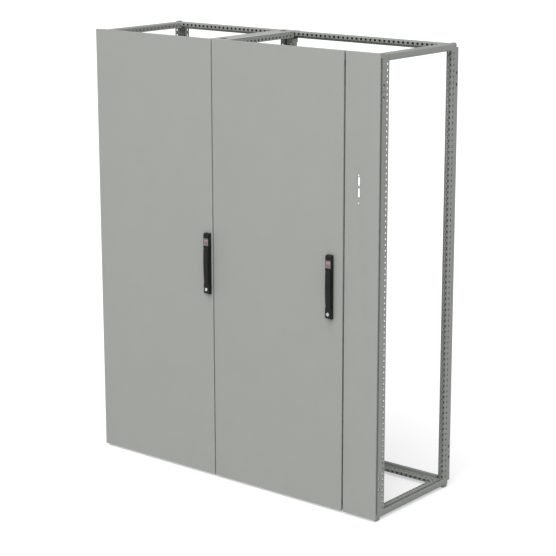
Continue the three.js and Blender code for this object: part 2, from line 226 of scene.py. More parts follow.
def block(bm, low, high, bevel=0.0, segments=2):
    verts = prism(bm, rectangle(low[:2], high[:2]), low[2], high[2], along_z)
    if bevel:
        bmesh.ops.recalc_face_normals(bm, faces=bm.faces)
        soften(bm, verts, bevel, segments)


def cylinder(bm, place, centre, radius, low, high, count=24, bevel=0.0):
    verts = prism(bm, circle(centre, radius, count), low, high, place)
    if bevel:
        bmesh.ops.recalc_face_normals(bm, faces=bm.faces)
        soften(bm, verts, bevel)


def revolve(bm, place, centre, profile, count=24):
    """Adds a turned solid: profile lists (radius, height), from the axis out and back to the axis."""
    rings = []
    for radius, height in profile:
        if radius < 1e-6:
            rings.append([bm.verts.new(place(centre[0], centre[1], height))])
        else:
            rings.append([bm.verts.new(place(a, b, height)) for a, b in circle(centre, radius, count)])
    for ring, following in zip(rings, rings[1:]):
        for i in range(count):
            j = (i + 1) % count
            corners = [ring[i % len(ring)], ring[j % len(ring)]]
            corners += [following[j % len(following)], following[i % len(following)]]
            unique = list(dict.fromkeys(corners))
            if len(unique) > 2:
                bm.faces.new(unique)


def mitred_ring(bm, section, low, high):
    """Adds a closed rectangular ring. section lists (inset, y); low and high are (x, z) corners."""
    corners = []
    for x_side, z_side in ((0, 0), (1, 0), (1, 1), (0, 1)):
        corner = []
        for inset, y in section:
            x = high[0] - inset if x_side else low[0] + inset
            z = high[1] - inset if z_side else low[1] + inset
            corner.append(bm.verts.new((x, y, z)))
        corners.append(corner)
    count = len(section)
    for side in range(4):
        here, there = corners[side], corners[(side + 1) % 4]
        for i in range(count):
            j = (i + 1) % count
            bm.faces.new((here[i], there[i], there[j], here[j]))


def mesh_object(name, bm):
    """Turns a bmesh in this script's millimetres into an object in metres."""
    bmesh.ops.recalc_face_normals(bm, faces=bm.faces)
    mesh = bpy.data.meshes.new(name)
    bm.to_mesh(mesh)
    bm.free()
    mesh.transform(Matrix.Translation((0, DOOR_FACE, 0)) @ Matrix.Scale(MM, 4))
    made = bpy.data.objects.new(name, mesh)
    bpy.context.scene.collection.objects.link(made)
    return made


def cut_holes(body, cutters):
    """Takes the cutters' solids out of an object."""
    tool = mesh_object("cutter", cutters)
    modifier = body.modifiers.new("cut", "BOOLEAN")
    modifier.operation = "DIFFERENCE"
    modifier.solver = "MANIFOLD"
    modifier.object = tool
    graph = bpy.context.evaluated_depsgraph_get()
    result = bpy.data.meshes.new_from_object(body.evaluated_get(graph))
    body.modifiers.clear()
    old = body.data
    body.data = result
    bpy.data.meshes.remove(old)
    spent = tool.data
    bpy.data.objects.remove(tool)
    bpy.data.meshes.remove(spent)


def piece(name, bm, material, body, replaces=(), cutters=(), smooth=35):
    """Finishes one piece: cuts its holes, shades it, paints it and hangs it on its body."""
    made = mesh_object(name, bm)
    for tool in cutters:
        cut_holes(made, tool)
    made.data.shade_smooth()
    made.data.set_sharp_from_angle(angle=math.radians(smooth))
    made.data.materials.clear()
    made.data.materials.append(material)
    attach(made, body)
    if replaces:
        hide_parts(*replaces)
    return made


# ---- Materials -------------------------------------------------------------------------------------------
def material(name, color, roughness, metallic=0.0):
    made = bpy.data.materials.new(name)
    made.use_nodes = True
    shader = made.node_tree.nodes["Principled BSDF"]
    shader.inputs["Base Color"].default_value = (*color, 1)
    shader.inputs["Roughness"].default_value = roughness
    shader.inputs["Metallic"].default_value = metallic
    return made, made.node_tree, shader


def noise(tree, scale, detail=3.0, roughness=0.55, stretch=(1, 1, 1)):
    """A noise pattern fixed to the piece. scale is how many of its features fit in a metre."""
    nodes = tree.nodes
    place = nodes.new("ShaderNodeTexCoord")
    mapping = nodes.new("ShaderNodeMapping")
    mapping.inputs["Scale"].default_value = stretch
    pattern = nodes.new("ShaderNodeTexNoise")
    pattern.inputs["Scale"].default_value = scale
    pattern.inputs["Detail"].default_value = detail
    pattern.inputs["Roughness"].default_value = roughness
    tree.links.new(place.outputs["Object"], mapping.inputs["Vector"])
    tree.links.new(mapping.outputs["Vector"], pattern.inputs["Vector"])
    return pattern.outputs["Fac"]


def remap(tree, value, low, high):
    made = tree.nodes.new("ShaderNodeMapRange")
    made.inputs["From Min"].default_value = 0.3
    made.inputs["From Max"].default_value = 0.7
    made.inputs["To Min"].default_value = low
    made.inputs["To Max"].default_value = high
    tree.links.new(value, made.inputs["Value"])
    return made.outputs["Result"]


def vary_color(tree, shader, value, dark, light):
    ramp = tree.nodes.new("ShaderNodeMix")
    ramp.data_type = "RGBA"
    ramp.inputs["A"].default_value = (*dark, 1)
    ramp.inputs["B"].default_value = (*light, 1)
    tree.links.new(remap(tree, value, 0, 1), ramp.inputs["Factor"])
    tree.links.new(ramp.outputs["Result"], shader.inputs["Base Color"])
    return ramp


def bump(tree, shader, value, strength, distance):
    made = tree.nodes.new("ShaderNodeBump")
    made.inputs["Strength"].default_value = strength
    made.inputs["Distance"].default_value = distance
    tree.links.new(value, made.inputs["Height"])
    tree.links.new(made.outputs["Normal"], shader.inputs["Normal"])
    return made


def shade(color, factor):
    return tuple(channel * factor for channel in color)


def powder_coat(name, color):
    """Fine-textured powder coat: tiny grain, faint clouding and a little gloss variation."""
    made, tree, shader = material(name, color, 0.5)
    vary_color(tree, shader, noise(tree, 9, 5), shade(color, 0.988), shade(color, 1.012))
    tree.links.new(remap(tree, noise(tree, 45, 4), 0.46, 0.56), shader.inputs["Roughness"])
    bump(tree, shader, noise(tree, 900, 4, 0.65), 0.22, 0.0004)
    shader.inputs["Specular IOR Level"].default_value = 0.4
    return made


def zinc_plate(name):
    """Bright zinc plating, with rolling marks and a cloudy lustre."""
    color = (0.56, 0.57, 0.58)
    made, tree, shader = material(name, color, 0.35, 0.9)
    vary_color(tree, shader, noise(tree, 60, 4), shade(color, 0.82), shade(color, 1.1))
    tree.links.new(remap(tree, noise(tree, 300, 3), 0.28, 0.46), shader.inputs["Roughness"])
    bump(tree, shader, noise(tree, 500, 3, 0.5, (1, 1, 0.08)), 0.12, 0.0003)
    return made


def moulded_plastic(name, color, roughness=0.42):
    """Spark-eroded mould grain with slight flow marks."""
    made, tree, shader = material(name, color, roughness)
    vary_color(tree, shader, noise(tree, 25, 3), shade(color, 0.85), shade(color, 1.2))
    low, high = roughness - 0.06, roughness + 0.08
    tree.links.new(remap(tree, noise(tree, 220, 3), low, high), shader.inputs["Roughness"])
    bump(tree, shader, noise(tree, 1400, 3, 0.7), 0.3, 0.0003)
    shader.inputs["Specular IOR Level"].default_value = 0.3
    return made


def foam_rubber(name):
    """Dull closed-cell foam with a finely pitted skin."""
    color = (0.022, 0.022, 0.023)
    made, tree, shader = material(name, color, 0.85)
    vary_color(tree, shader, noise(tree, 80, 4), shade(color, 0.7), shade(color, 1.5))
    bump(tree, shader, noise(tree, 700, 4, 0.7), 0.5, 0.0006)
    return made


def satin_chrome(name):
    """Satin metal with a fine, even grain."""
    color = (0.88, 0.88, 0.87)
    made, tree, shader = material(name, color, 0.5, 0.8)
    vary_color(tree, shader, noise(tree, 150, 3), shade(color, 0.92), shade(color, 1.06))
    tree.links.new(remap(tree, noise(tree, 900, 2), 0.42, 0.58), shader.inputs["Roughness"])
    bump(tree, shader, noise(tree, 1500, 2), 0.1, 0.0002)
    return made


PAINT = (0.396, 0.413, 0.385)
door_paint = powder_coat("door_powder_coat", PAINT)
# The frame's coat is a slightly darker copy of the door paint: painted shade on the frame.
frame_paint = powder_coat("frame_shaded_powder_coat", shade(PAINT, 0.94))
# A much darker copy of the door paint: painted shade on the divider post deep in the door gap, and the
# grommets' own dark colour.
divider_shade_and_grommet_paint = powder_coat("divider_shade_and_grommet_coat", shade(PAINT, 0.6))
# A lighter copy of the door paint: painted light on the top cover plate.
plate_lit_paint = powder_coat("plate_lit_powder_coat", shade(PAINT, 1.2))
zinc = zinc_plate("bright_zinc")
black_plastic = moulded_plastic("black_plastic", (0.012, 0.012, 0.013))
grip_plastic = moulded_plastic("grip_plastic", (0.013, 0.013, 0.014), 0.5)
label_plastic = moulded_plastic("label_plastic", (0.2, 0.2, 0.2), 0.5)
marker_plastic = moulded_plastic("marker_plastic", (0.8, 0.2, 0.22), 0.5)
seal_rubber = foam_rubber("seal_foam")
chrome = satin_chrome("satin_chrome")
dark_steel = moulded_plastic("blackened_steel", (0.05, 0.05, 0.05), 0.45)


# ---- Perforated profiles ---------------------------------------------------------------------------------
class Profile:
    """A hollow roll-formed section: an outline, its wall and rows of holes, placed by a function."""

    def __init__(self, points, low, high, place, wall=WALL, bend=BEND):
        self.place = place
        self.low = low
        self.high = high
        self.wall = wall
        self.solid = bmesh.new()
        self.cutters = bmesh.new()
        inner = inset(points, wall)
        outer_line = rounded(points, bend)
        inner_line = rounded(inner, bend - wall if bend > wall else 0.4)
        tube(self.solid, outer_line, inner_line, low, high, place)

    def row(self, face, at, size, pitch=PITCH, start=0.0, ends=(30, 30), shape="oval"):
        """Cuts a row of holes.

        face is ("a" or "b", value), and at is the other coordinate of the row's line. size is
        (across, along). start shifts the row along the profile, and ends keeps its ends plain.
        """
        low, high = self.low + ends[0], self.high - ends[1]
        middle = (self.low + self.high) / 2 + start
        first = math.ceil((low - middle) / pitch)
        last = math.floor((high - middle) / pitch)
        for k in range(first, last + 1):
            self.hole(face, at, middle + k * pitch, size, shape)

    def hole(self, face, at, along, size, shape="oval"):
        which, value = face
        reach = self.wall + 1.0
        if shape == "oval":
            outline = oval((at, along), *size)
        elif shape == "round":
            outline = circle((at, along), size[0] / 2, 12)
        else:
            half = (size[0] / 2, size[1] / 2)
            corners = rectangle((at - half[0], along - half[1]), (at + half[0], along + half[1]))
            outline = rounded(corners, 1.0, 2)
        if which == "a":
            place = lambda b, c, a: self.place(a, b, c)
        else:
            place = lambda a, c, b: self.place(a, b, c)
        prism(self.cutters, outline, value - reach, value + reach, place)

    def finish(self, name, body="frame", replaces=(), paint=None):
        cutters = [self.cutters] if self.cutters.verts else []
        return piece(name, self.solid, paint or frame_paint, body, replaces, cutters)


def inset(points, distance):
    """A closed right-angled outline, drawn counter-clockwise, moved inwards by distance."""
    result = []
    count = len(points)
    for i, corner in enumerate(points):
        corner = Vector(corner)
        entry = (corner - Vector(points[i - 1])).normalized()
        leave = (Vector(points[(i + 1) % count]) - corner).normalized()
        inward = Vector((-entry.y, entry.x)) + Vector((-leave.y, leave.x))
        result.append(corner + inward * distance)
    return result


# Sections are drawn from the profile's outer corner: a runs inwards from the outer face, and b across.
POST_SECTION = [(0, 0), (POST, 0), (POST, ARM), (ARM, ARM), (ARM, POST), (0, POST)]
LONG_SECTION = [(0, 0), (POST, 0), (POST, LEDGE), (LIP, LEDGE), (LIP, RAIL_HEIGHT), (0, RAIL_HEIGHT)]
SIDE_SECTION = [
    (0, 0),
    (POST, 0),
    (POST, SIDE_LEDGE),
    (SIDE_GROOVE[1], SIDE_LEDGE),
    (SIDE_GROOVE[1], SIDE_GROOVE[0]),
    (0, SIDE_GROOVE[0]),
]
SIDE_LIP_SECTION = [(0, 4), (WALL, 4), (WALL, 20.5), (4.6, SIDE_LIP - 1), (3.2, SIDE_LIP), (0, 21)]
def corner_post(place_name, sx, sy):
    """One corner post. sx and sy are +1 or -1 towards the right and the rear."""
    outer_x = frame_right if sx > 0 else frame_left
    outer_y = post_rear if sy > 0 else post_front
    place = lambda a, b, c: Vector((outer_x - sx * a, outer_y - sy * b, c))
    low, high = frame_bottom + CORNER_HEIGHT - 1, frame_top - CORNER_HEIGHT + 1
    post = Profile(POST_SECTION, low, high, place)
    for axis in ("a", "b"):
        post.row((axis, 0), POST - 13, (8, 12), ends=(22, 22))
        post.row((axis, POST), 10.5, (9.5, 13), ends=(22, 22), shape="square")
        post.row((axis, POST), 16, SMALL_OVAL, start=PITCH / 2, ends=(22, 22))
        post.row((axis, ARM), (POST + ARM) / 2, SQUARE, ends=(22, 22), shape="square")
    for middle in (frame_bottom + END_GROUP, frame_top - END_GROUP):
        for step in (-1, 1):
            post.hole(("a", 0), 10.5, middle + step * PITCH, (10, 15))
        post.hole(("a", 0), 10.5, middle, (6, 6), "round")
    post.finish(f"profile_post_{place_name}", replaces=[f"post_{place_name}"])
    corner_blocks(place_name, sx, sy, outer_x)


def corner_blocks(place_name, sx, sy, outer_x):
    """The solid blocks at a post's two ends, with the threaded cap above and the levelling foot below."""
    foot_low, foot_high = node_box(f"foot_{place_name}")
    outer_y = rail_rear if sy > 0 else rail_front
    inner_y = post_rear - POST if sy > 0 else post_front + POST
    xs = sorted((outer_x, outer_x - sx * POST))
    ys = sorted((outer_y, inner_y))
    blocks = bmesh.new()
    bottom_block = (frame_bottom, frame_bottom + CORNER_HEIGHT)
    top_block = (frame_top - CORNER_HEIGHT, frame_top)
    for low, high in (bottom_block, top_block):
        block(blocks, (xs[0], ys[0], low), (xs[1], ys[1], high), 1.6, 3)
    middle = ((foot_low.x + foot_high.x) / 2, (foot_low.y + foot_high.y) / 2)
    cutters = bmesh.new()
    cylinder(cutters, along_z, middle, 5, frame_top - 12, frame_top + 9, 20)
    cylinder(cutters, along_z, middle, 5, frame_bottom - 9, frame_bottom + 12, 20)
    inner = (xs[0] + xs[1]) / 2 - sx * 12
    for y in (ys[0] + 14, ys[1] - 14):
        cylinder(cutters, along_z, (inner, y), 3.3, frame_top - 8, frame_top + 9, 12)
        cylinder(cutters, along_z, (inner, y), 3.3, frame_bottom - 9, frame_bottom + 8, 12)
    piece(f"corner_blocks_{place_name}", blocks, frame_paint, "frame", cutters=[cutters])

    cap = bmesh.new()
    half = (foot_high - foot_low) / 2
    size = Vector((half.x, half.y, 0))
    centre = Vector((*middle, 0))
    cap_bottom = Vector((0, 0, frame_top - 1))
    cap_top = Vector((0, 0, frame_top + 4))
    block(cap, centre - size + cap_bottom, centre + size + cap_top, 1.2)
    bore = bmesh.new()
    cylinder(bore, along_z, middle, 3.5, frame_top - 3, frame_top + 9, 20)
    piece(f"corner_cap_{place_name}", cap, frame_paint, "frame", cutters=[bore])

    foot = bmesh.new()
    block(foot, (*foot_low.xy, 1.5), (*foot_high.xy, frame_bottom + 2), 1.5)
    block(foot, (foot_low.x + 1.5, foot_low.y + 1.5, 0), (foot_high.x - 1.5, foot_high.y - 1.5, 3), 0.6)
    piece(f"levelling_foot_{place_name}", foot, frame_paint, "frame", [f"foot_{place_name}"])


def long_rail(span, place):
    rail = Profile(LONG_SECTION, span[0] - 1, span[1] + 1, place)
    rail.row(("a", POST), 8.5, SQUARE, ends=(6, 6), shape="square")
    rail.row(("b", LEDGE), 30, SLOT, ends=(14, 14))
    return rail


def side_rail(span, place):
    rail = Profile(SIDE_SECTION, span[0] - 1, span[1] + 1, place, bend=3.5)
    rail.row(("b", SIDE_LEDGE), 41, SLOT, ends=(10, 10))
    rail.row(("b", SIDE_LEDGE), 30, SMALL_SQUARE, start=PITCH / 2, ends=(10, 10), shape="square")
    rail.row(("a", POST), 15, SMALL_SQUARE, start=PITCH / 2, ends=(10, 10), shape="square")
    prism(rail.solid, rounded(SIDE_LIP_SECTION, 0.8, 2), span[0] - 1, span[1] + 1, place)
    return rail


def rails():
    """The eight outer rails. A top rail is a bottom rail turned upside down."""
    for level in ("top", "bottom"):
        def height(b, level=level):
            return frame_top - b if level == "top" else frame_bottom + b

        sides = {
            "front": lambda a, b, c: Vector((c, rail_front + a, height(b))),
            "rear": lambda a, b, c: Vector((c, rail_rear - a, height(b))),
            "left": lambda a, b, c: Vector((frame_left + a, c, height(b))),
            "right": lambda a, b, c: Vector((frame_right - a, c, height(b))),
        }
        for side, place in sides.items():
            name = f"rail_{side}_{level}"
            low, high = node_box(name)
            span = (low.x, high.x) if side in ("front", "rear") else (low.y, high.y)
            if side in ("front", "rear"):
                rail = long_rail(span, place)
            else:
                rail = side_rail(span, place)
            rail.finish(f"profile_{name}", replaces=[name])


def box_section(width, depth):
    return rectangle((0, 0), (width, depth))


def middle_posts():
    """The two middle posts and the panel divider, and the brackets beside the rear one."""
    for name in ("post_front_middle", "post_rear_middle", "post_panel_divider"):
        low, high = node_box(name)
        width, depth = high.x - low.x, high.y - low.y
        place = lambda a, b, c, low=low: Vector((low.x + a, low.y + b, c))
        section = box_section(width, depth)
        rows = (width * 0.25, width * 0.75)
        if name == "post_rear_middle":
            side, deep = GROOVE["side"], GROOVE["depth"]
            section[1:1] = [(side, 0), (side, deep), (width - side, deep), (width - side, 0)]
            rows = (side / 2, width - side / 2)
        post = Profile(section, low.z, high.z, place)
        for a in (0, width):
            post.row(("a", a), depth / 2 - 8, SLOT, ends=(22, 22))
            post.row(("a", a), depth / 2 + 8, SQUARE, start=PITCH / 2, ends=(22, 22), shape="square")
        inner_face = 0 if name == "post_rear_middle" else depth
        for a in rows:
            post.row(("b", inner_face), a, SQUARE, ends=(22, 22), shape="square")
        # The divider post takes the much darker copy: painted shade in the door gap.
        paint = divider_shade_and_grommet_paint if name == "post_panel_divider" else frame_paint
        post.finish(f"profile_{name}", replaces=[name], paint=paint)
    low, high = node_box("post_rear_middle")
    brackets = bmesh.new()
    for bottom in (low.z + 1, high.z - 21):
        block(brackets, (high.x - 1, low.y + 3, bottom), (high.x + 8, high.y - 5, bottom + 20), 1.0)
    piece("rear_post_brackets", brackets, frame_paint, "frame")


def cable_hole_middles(low, high):
    return [((low.x + high.x) / 2, y) for y in (rail_front + 68, rail_rear - 64)]


def cable_holes(low, high, radius):
    holes = bmesh.new()
    for middle in cable_hole_middles(low, high):
        cylinder(holes, along_z, middle, radius, frame_top - 5, frame_top + 6, 32)
    return holes


def cross_rails():
    """The rails from front to rear over the middle posts; the top one carries a cover plate."""
    for name in ("rail_middle_top", "rail_middle_bottom"):
        low, high = node_box(name)
        width, height = high.x - low.x, high.z - low.z
        place = lambda a, b, c, low=low: Vector((low.x + a, c, low.z + b))
        rail = Profile(box_section(width, height), low.y - 0.5, high.y + 0.5, place)
        for a in (0, width):
            rail.row(("a", a), height * 0.36, (8.5, 9.5), ends=(10, 10), shape="square")
        if name == "rail_middle_bottom":
            for b in (0, height):
                rail.row(("b", b), width / 2, SLOT, ends=(14, 14))
        if name == "rail_middle_top":
            for middle in cable_hole_middles(low, high):
                cylinder(rail.cutters, along_z, middle, 15.5, frame_top - 5, frame_top + 6, 32)
        rail.finish(f"profile_{name}", replaces=[name])
    low, high = node_box("rail_middle_top")
    plate = bmesh.new()
    block(plate, (low.x, rail_front, frame_top), (high.x, rail_rear, frame_top + WALL), 0.7)
    holes = cable_holes(low, high, CABLE_HOLE_RADIUS)
    # The cover plate's lighter coat is painted light on its top face.
    piece("cross_rail_cover", plate, plate_lit_paint, "frame", cutters=[holes])
    rims = bmesh.new()
    for x, y in cable_hole_middles(low, high):
        cylinder(rims, along_z, (x, y), 18, frame_top + 1, frame_top + 3.2, 32, 0.6)
    rim_holes = cable_holes(low, high, GROMMET_RADIUS)
    piece("cross_rail_grommets", rims, divider_shade_and_grommet_paint, "frame", cutters=[rim_holes])


# ---- Doors -----------------------------------------------------------------------------------------------
def folded_tray(low, high):
    """A sheet with four folded edges: the outer solid, and the cutter that hollows it."""
    outer = bmesh.new()
    block(outer, low, high, 2.2, 3)
    hollow = bmesh.new()
    hollow_low = (low.x + SKIN, low.y + SKIN, low.z + SKIN)
    hollow_high = (high.x - SKIN, high.y + 20, high.z - SKIN)
    block(hollow, hollow_low, hollow_high, 0.8)
    return outer, hollow


def flange_panel():
    """The fixed panel with the switch operator's openings, held by clips on its rear."""
    low, high = node_box("flange_panel")
    outer, hollow = folded_tray(low, high)
    openings = bmesh.new()
    half = Vector(CUTOUT["size"]) / 2
    for side in (-1, 1):
        middle = Vector((CUTOUT["x"], CUTOUT["z"] + side * CUTOUT["pitch"] / 2))
        prism(openings, rounded(rectangle(middle - half, middle + half), 1.5, 2), -5, 8, along_y)
    for dz in CUTOUT["holes"]:
        prism(openings, circle((CUTOUT["x"], CUTOUT["z"] + dz), CUTOUT["radius"], 20), -5, 8, along_y)
    relief = bmesh.new()
    block(relief, (high.x - SKIN - 1, FOLD / 2, low.z + 16), (high.x + 1, FOLD + 5, high.z - 16), 0.5)
    cutters = [hollow, openings, relief]
    piece("flange_panel_sheet", outer, door_paint, "frame", ["flange_panel"], cutters)
    clips = bmesh.new()
    screws = bmesh.new()
    inner_x = low.x + SKIN
    outer_x = high.x - SKIN - 16
    for z in (130, 560, 1000, 1440, 1870):
        for x in (inner_x, outer_x):
            block(clips, (x, SKIN, z - 12), (x + 15, SKIN + 2, z + 12), 0.4)
            screw(screws, along_y, (x + 7.5, z), SKIN + 2, 1)
        for x in (inner_x, outer_x):
            block(clips, (x, SKIN, z - 12), (x + 2, post_front, z + 12), 0.4)
    piece("flange_panel_clips", clips, frame_paint, "frame")
    piece("flange_panel_screws", screws, zinc, "frame")


def divider_end_shade_blocks():
    """Black blocks on the divider, standing in the gap between the right door and the flange panel: painted
    shade for the dark spots at the divider's two ends.
    """
    panel_edge = node_box("flange_panel")[0].x
    blocks = bmesh.new()
    for bottom, top in GAP_SHADE_BLOCK["levels"]:
        low = (panel_edge - GAP_SHADE_BLOCK["width"], GAP_SHADE_BLOCK["front"], bottom)
        block(blocks, low, (panel_edge - 0.2, post_front + 1, top), 0.8)
    piece("divider_gap_shade_blocks", blocks, black_plastic, "frame")


def screw(bm, place, centre, seat, outward, radius=3.2, height=2.0):
    """Adds a pan-head screw with a six-sided socket, its head standing on seat.

    outward is +1 or -1, the way the head faces.
    """
    socket = radius * 0.55
    profile = [
        (0, seat + outward * height * 0.45),
        (socket, seat + outward * height * 0.45),
        (socket, seat + outward * height),
        (radius * 0.72, seat + outward * height),
        (radius, seat + outward * height * 0.55),
        (radius, seat - outward * 0.4),
        (0, seat - outward * 0.4),
    ]
    revolve(bm, place, centre, profile, 18)


def hex_nut(bm, place, centre, seat, outward, across=10, height=4.5):
    """Adds a hexagon nut on its washer, with the stud's end standing out of it."""
    levels = sorted((seat - outward * 0.3, seat + outward * 1.2))
    cylinder(bm, place, centre, across * 0.68, *levels, 24, 0.3)
    levels = sorted((seat + outward * 1.0, seat + outward * (1.2 + height)))
    cylinder(bm, place, centre, across / math.sqrt(3), *levels, 6, 0.5)
    levels = sorted((seat + outward * height, seat + outward * (height + 3.5)))
    cylinder(bm, place, centre, across * 0.29, *levels, 16, 0.4)


def flat_corners(node):
    """A node's box as seen from the front: its low and high (x, z) corners."""
    low, high = node_box(node)
    return (low.x, low.z), (high.x, high.z)


def door_sheet(side):
    name = f"door_{side}_panel"
    low, high = node_box(name)
    outer, hollow = folded_tray(low, high)
    notches = bmesh.new()
    for i in (1, 2, 3):
        z = sum(p.z for p in node_box(f"hinge_{side}_{i}_pin")) / 2
        block(notches, (low.x - 1, SKIN, z - 15), (low.x + SKIN + 1, FOLD + 1, z + 15), 0.4)
    spindle = bmesh.new()
    middle = handle_middle(side)
    cylinder(spindle, along_y, (middle.x, middle.z + SPINDLE_HEIGHT), 11, -1, SKIN + 1)
    cutters = [hollow, notches, spindle]
    piece(f"door_{side}_sheet", outer, door_paint, f"door_{side}", [name], cutters)


def door_seal(side):
    name = f"door_{side}_seal"
    ring = bmesh.new()
    mitred_ring(ring, rounded(SEAL_BEAD, 0.6, 1), *flat_corners(name))
    piece(f"door_{side}_seal_bead", ring, seal_rubber, f"door_{side}", [name])


def door_stiffener(side):
    """The perforated channel frame welded inside the door, with its nuts."""
    name = f"door_{side}_stiffener"
    (x0, z0), (x1, z1) = flat_corners(name)
    ring = bmesh.new()
    mitred_ring(ring, rounded(CHANNEL, 0.7, 2), (x0, z0), (x1, z1))
    holes = bmesh.new()
    half = CHANNEL_WIDTH / 2
    reach = (11, 16)
    count = int((z1 - z0 - 100) / PITCH / 2)
    for k in range(-count, count + 1):
        z = (z0 + z1) / 2 + k * PITCH
        for x in (x0 + half, x1 - half):
            prism(holes, oval((x, z), *(SLOT if k % 2 else SQUARE)), *reach, along_y)
    count = int((x1 - x0 - 100) / PITCH / 2)
    for k in range(-count, count + 1):
        x = (x0 + x1) / 2 + k * PITCH
        for z in (z0 + half, z1 - half):
            prism(holes, oval((x, z), *(reversed(SLOT) if k % 2 else SQUARE)), *reach, along_y)
    piece(f"door_{side}_channel_frame", ring, frame_paint, f"door_{side}", [name], [holes])
    nuts = bmesh.new()
    for x in (x0 + half, x1 - half):
        for z in (z0 + half, z1 - half):
            hex_nut(nuts, along_y, (x, z), CHANNEL_BACK, 1, 8, 3.5)
    piece(f"door_{side}_channel_nuts", nuts, zinc, f"door_{side}")


# ---- Handles ---------------------------------------------------------------------------------------------
def handle_middle(side):
    low, high = node_box(f"door_{side}_handle_base")
    return Vector(((low.x + high.x) / 2, 0, HANDLE_Z))


def loft(bm, rings):
    """Joins closed rings of equal length into one closed skin."""
    lines = [[bm.verts.new(point) for point in ring] for ring in rings]
    count = len(lines[0])
    for line, following in zip(lines, lines[1:]):
        for i in range(count):
            j = (i + 1) % count
            bm.faces.new((line[i], line[j], following[j], following[i]))
    bm.faces.new(reversed(lines[0]))
    bm.faces.new(lines[-1])


def bow(start, middle, end, t):
    """A quadratic curve through three heights: start at t=0, its control in the middle, end at t=1."""
    return (1 - t) ** 2 * start + 2 * t * (1 - t) * middle + t * t * end


def lever_ring(x, w):
    """The lever's cross-section at height w above the handle's middle."""
    pivot, radius = LEVER["pivot"], LEVER["radius"]
    head = pivot + radius - LEVER["width"] / 2
    half = LEVER["width"] / 2
    if w > head:
        half = math.sqrt(max(half * half - (w - head) ** 2, 0.3))
    back = LEVER["depth"] - radius
    if w > pivot:
        swing = math.sqrt(max(radius * radius - (w - pivot) ** 2, 0.3))
        back, front = LEVER["depth"] - swing, LEVER["depth"] + swing
    elif w > 0:
        front = bow(HANDLE["proud"], HANDLE["proud"], LEVER["depth"] + radius, w / pivot)
    else:
        front = bow(HANDLE["proud"], HANDLE["proud"], LEVER["end"], w / LEVER["bottom"])
    corner = min(3.6, 0.45 * (front - back), 0.45 * half)
    corners = rectangle((-half, back), (half, front))
    outline = rounded(corners, corner, 5)
    return [Vector((x + a, -b, HANDLE_Z + w)) for a, b in outline]


def handle_lever(side):
    x = handle_middle(side).x
    name = f"door_{side}_handle_lever"
    skin = bmesh.new()
    top = LEVER["pivot"] + LEVER["radius"] - 0.15
    bottom = LEVER["bottom"]
    heights = [bottom + 0.2, bottom + 1.2, bottom + 3]
    heights += [bottom + 3 + (60 - bottom - 3) * k / 24 for k in range(1, 25)]
    heights += [60 + (top - 60) * math.sin(math.pi / 2 * k / 14) for k in range(1, 15)]
    rings = [lever_ring(x, w) for w in heights]
    for ring, pull in ((rings[0], 1.4), (rings[1], 0.5)):
        middle = sum(ring, Vector()) / len(ring)
        for point in ring:
            away = Vector((point.x - middle.x, point.y - middle.y, 0))
            point -= away.normalized() * pull
    loft(skin, rings)
    piece(f"{name}_grip", skin, grip_plastic, f"lever_{side}", [name], smooth=50)


def handle_base(side):
    x = handle_middle(side).x
    name = f"door_{side}_handle_base"
    half, wide = HANDLE["height"] / 2, HANDLE["width"] / 2
    proud, bed = HANDLE["block"], HANDLE["bed"]
    body = bmesh.new()

    def add(outline, inner, outer, bevel):
        points = [(-depth, HANDLE_Z + w) for depth, w in outline]
        verts = prism(body, points, inner, outer, along_x)
        bmesh.ops.recalc_face_normals(body, faces=body.faces)
        soften(body, verts, bevel, 3, 25)

    top_block = [(0.3, 78), (0.3, half), (12, half), (18, half - 4)]
    top_block += [(proud, half - 10), (proud, HANDLE["top"]), (7, 78)]
    add(top_block, x - wide, x + wide, 1.8)
    add([(0.3, -92), (0.3, 84), (bed, 84), (bed, -92)], x - wide, x + wide, 1.2)
    bottom = HANDLE["bottom"]
    low_block = [(0.3, bottom), (7, bottom), (proud, bottom), (proud, 10 - half)]
    low_block += [(18, 4 - half), (12, -half), (0.3, -half)]
    add(low_block, x - wide, x + wide, 1.8)
    cheek = [(2, 84), (proud - 1, 84), (proud - 1, 74), (16, 62), (bed, 50), (2, 50)]
    for start in (x - wide + 0.1, x + wide - 2.1):
        add(cheek, start, start + 2, 0.5)
    rim = [(2, 52), (13, 52), (13, -90), (2, -90)]
    for start in (x - wide + 0.1, x + wide - 1.9):
        add(rim, start, start + 1.8, 0.5)

    bore = bmesh.new()
    middle = node_box(f"door_{side}_lock_cylinder")
    centre = ((middle[0].x + middle[1].x) / 2, (middle[0].z + middle[1].z) / 2)
    cylinder(bore, along_y, centre, 7.5, -proud - 4, middle[1].y + 0.3, 32)
    recess = bmesh.new()
    low, high = node_box(f"door_{side}_handle_label")
    gap = Vector((0.35, 0, 0.35))
    block(recess, low - gap - Vector((0, 5, 0)), high + gap + Vector((0, 0.3, 0)))
    cutters = [bore, recess]
    piece(f"{name}_shell", body, black_plastic, f"door_{side}", [name], cutters)

    boss = bmesh.new()
    spindle_z = HANDLE_Z + SPINDLE_HEIGHT
    cylinder(boss, along_y, (x, spindle_z), 10, -1, SKIN + 4, 32, 0.6)
    block(boss, (x - 4, 3, spindle_z - 4), (x + 4, 12, spindle_z + 4), 0.5)
    piece(f"{name}_boss", boss, dark_steel, f"door_{side}")


def handle_label(side):
    """A plain insert plate with a short coloured index bar and no lettering."""
    name = f"door_{side}_handle_label"
    low, high = node_box(name)
    plate = bmesh.new()
    block(plate, low, high, 0.45)
    piece(f"{name}_plate", plate, label_plastic, f"door_{side}", [name])
    bar = bmesh.new()
    middle_x = (low.x + high.x) / 2
    top = high.z - 7
    block(bar, (middle_x - 8.5, low.y - 0.25, top - 6), (middle_x + 8.5, low.y + 0.3, top), 0.2)
    piece(f"{name}_bar", bar, marker_plastic, f"door_{side}")


